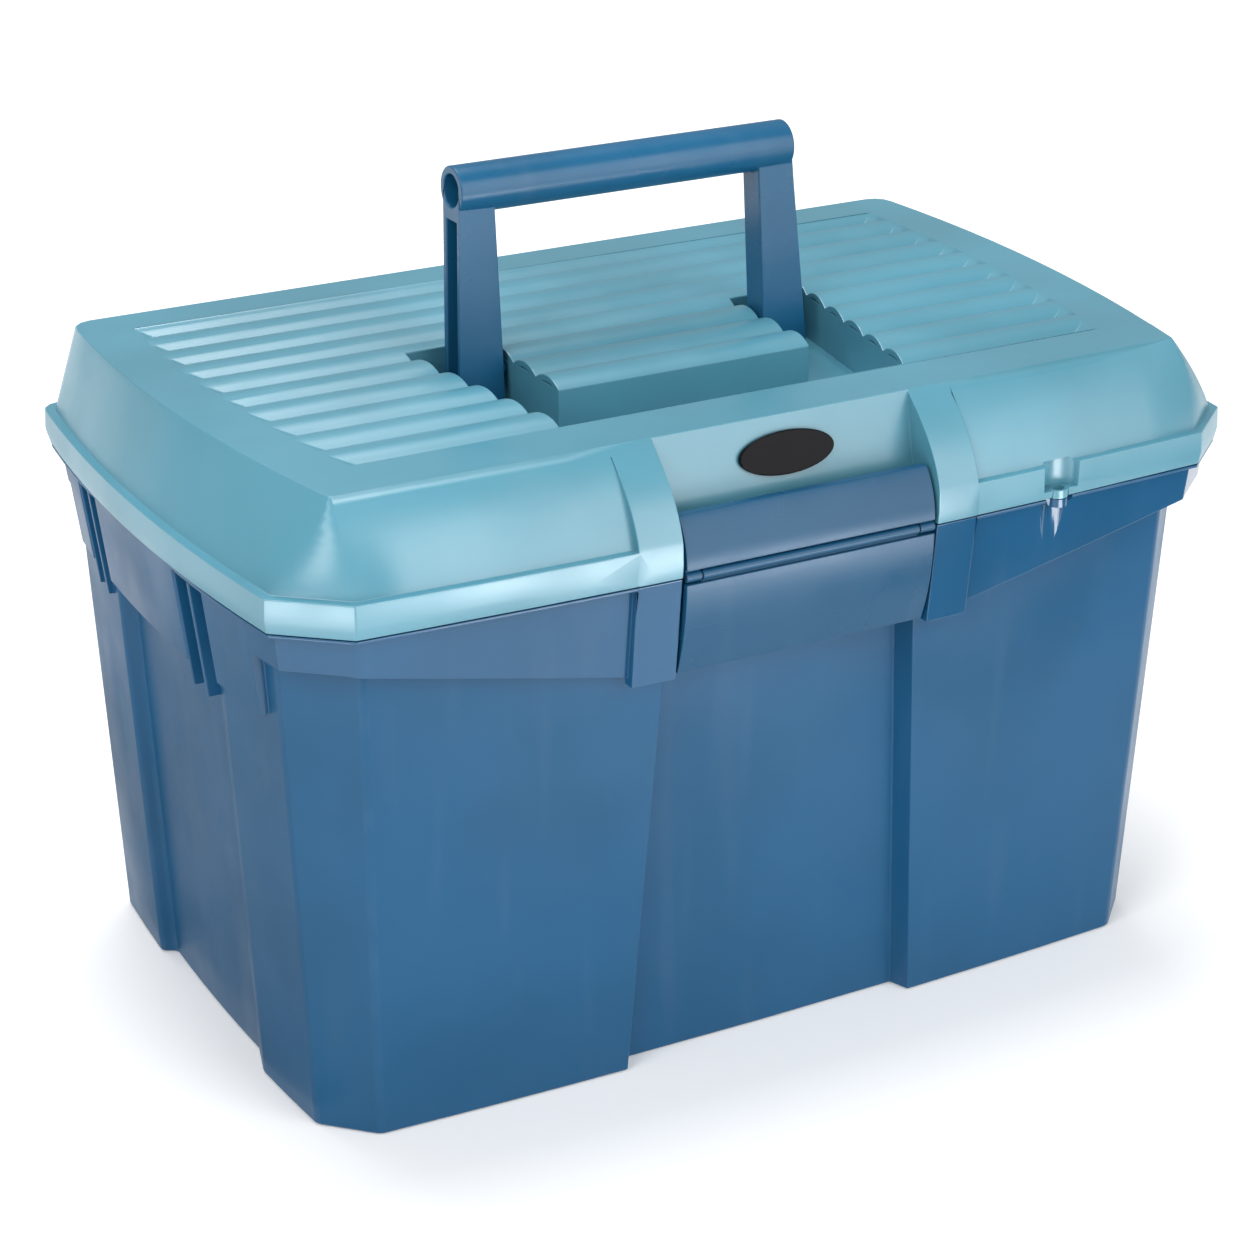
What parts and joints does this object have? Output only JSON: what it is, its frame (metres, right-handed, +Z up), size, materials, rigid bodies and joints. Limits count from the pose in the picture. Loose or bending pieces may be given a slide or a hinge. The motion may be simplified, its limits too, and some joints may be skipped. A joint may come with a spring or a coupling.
{
  "type": "grooming box",
  "caption": "Hinged plastic carry box for grooming brushes: tapered tub, ribbed domed lid with fold-down handle, front latch, padlock eye and lift-out tray.",
  "frame": {"origin": "centre of the bounding box's footprint, on the floor under the tub", "axes": "+X along the width, to the right as seen from the latch side; +Y to the rear, where the hinges are; +Z up"},
  "size_m": [0.4, 0.2504, 0.3121],
  "materials": {
    "tub": "moulded polypropylene, semi-gloss, mid blue",
    "lid": "moulded polypropylene, semi-gloss, light turquoise blue",
    "handle": "moulded polypropylene, semi-gloss, dark blue",
    "latch": "moulded polypropylene, semi-gloss, dark blue",
    "badge": "glossy black, plain",
    "pin": "plain drawn wire",
    "tray": "moulded polypropylene, satin, mid blue"
  },
  "bodies": {
    "tub": {"tub": "tub", "latch_apron": "latch", "latch_hinge_pin": "pin", "hinge_pin_left": "pin", "hinge_pin_right": "pin"},
    "lid": {"lid": "lid", "badge": "badge", "handle_pivot_pin_left": "handle", "handle_pivot_pin_right": "handle"},
    "handle": {"carry_handle": "handle"},
    "latch": {"latch_flap": "latch"},
    "tray": {"lift_out_tray": "tray"}
  },
  "joints": [
    {"name": "lid_hinge", "type": "hinge", "parent": "tub", "child": "lid", "pos_m": [0, 0.12067, 0.195], "axis": [-1, 0, 0], "range_deg": [0, 105]},
    {"name": "handle_fold", "type": "hinge", "parent": "lid", "child": "handle", "pos_m": [0, 0.00647, 0.236], "axis": [1, 0, 0], "range_deg": [0, 97]},
    {"name": "latch_swing", "type": "hinge", "parent": "tub", "child": "latch", "pos_m": [0, -0.12327, 0.1996], "axis": [1, 0, 0], "range_deg": [0, 100]},
    {"name": "tray_lift", "type": "slide", "parent": "tub", "child": "tray", "axis": [0, 0, 1], "range_m": [0, 0.024]}
  ]
}
